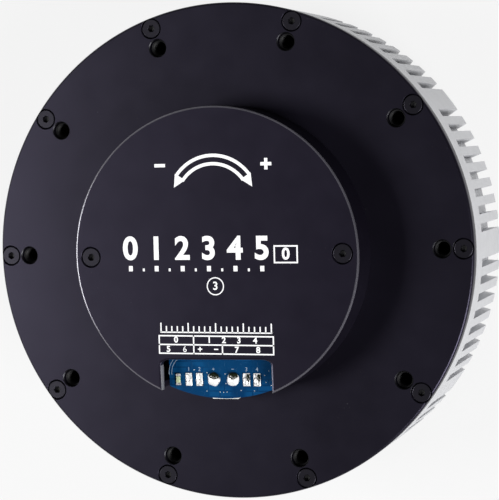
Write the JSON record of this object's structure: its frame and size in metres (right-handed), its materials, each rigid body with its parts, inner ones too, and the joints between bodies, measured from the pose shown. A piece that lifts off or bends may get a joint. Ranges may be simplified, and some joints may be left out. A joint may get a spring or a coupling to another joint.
{
  "type": "robot joint actuator",
  "caption": "Flat round servo actuator for a robot joint: finned light housing, black rear plate with driver cap, motor and planetary stage turning an output flange.",
  "frame": {"origin": "centre of the output face, which is the lowest face", "axes": "+Z along the shaft from the output face to the rear cap, -Y towards the connector window"},
  "size_m": [0.122, 0.122, 0.0506],
  "materials": {
    "housing_alloy": "bead-blasted, clear anodised",
    "black_anodised": "satin black anodised",
    "black_screw_steel": "black oxide",
    "gear_steel": "ground",
    "bearing_steel": "polished",
    "rotor_steel": "turned, zinc plated",
    "magnet_nickel": "nickel plated",
    "stator_laminations": "laminated sheet, insulated",
    "winding_copper": "enamelled copper wire",
    "output_alloy": "turned, clear anodised",
    "board_blue": "blue solder mask on glass epoxy",
    "solder_tin": "tinned",
    "chip_black": "moulded epoxy",
    "connector_white": "moulded nylon",
    "led_lens": "clear lens"
  },
  "bodies": {
    "base": {"housing": "housing_alloy", "rear_plate": "black_anodised", "cover_screws": "black_screw_steel", "driver_cap": "black_anodised", "cap_screws": "black_screw_steel", "circuit_board": "board_blue", "signal_pads": "solder_tin", "power_terminals": "solder_tin", "status_led": "led_lens", "power_connector": "connector_white", "signal_connectors": "connector_white", "transistors": "chip_black", "controller_chip": "chip_black", "capacitors": "chip_black", "encoder_chip": "chip_black", "stator_core": "stator_laminations", "stator_coils": "winding_copper", "ring_gear": "gear_steel", "output_bearing": "bearing_steel", "rotor_bearing": "bearing_steel"},
    "output": {"output_carrier": "output_alloy", "carrier_plate": "output_alloy", "planet_pins": "gear_steel"},
    "rotor": {"rotor_cup": "rotor_steel", "rotor_magnets": "magnet_nickel", "sun_shaft": "gear_steel", "encoder_magnet": "magnet_nickel"},
    "planet_1": {"planet_gear_1": "gear_steel"},
    "planet_2": {"planet_gear_2": "gear_steel"},
    "planet_3": {"planet_gear_3": "gear_steel"}
  },
  "joints": [
    {"name": "output_spin", "type": "hinge", "parent": "base", "child": "output", "pos_m": [0, 0, 0.009], "axis": [0, 0, 1], "continuous": true},
    {"name": "rotor_spin", "type": "hinge", "parent": "base", "child": "rotor", "pos_m": [0, 0, 0.037], "axis": [0, 0, 1], "continuous": true},
    {"name": "planet_1_spin", "type": "hinge", "parent": "output", "child": "planet_1", "pos_m": [0, 0.0147, 0.0188], "axis": [0, 0, 1], "continuous": true},
    {"name": "planet_2_spin", "type": "hinge", "parent": "output", "child": "planet_2", "pos_m": [-0.01273, -0.00735, 0.0188], "axis": [0, 0, 1], "continuous": true},
    {"name": "planet_3_spin", "type": "hinge", "parent": "output", "child": "planet_3", "pos_m": [0.01273, -0.00735, 0.0188], "axis": [0, 0, 1], "continuous": true}
  ],
  "couplings": [
    {"joint": "rotor_spin", "follows": "output_spin", "ratio": 7},
    {"joint": "planet_1_spin", "follows": "output_spin", "ratio": -2.4},
    {"joint": "planet_2_spin", "follows": "output_spin", "ratio": -2.4},
    {"joint": "planet_3_spin", "follows": "output_spin", "ratio": -2.4}
  ]
}
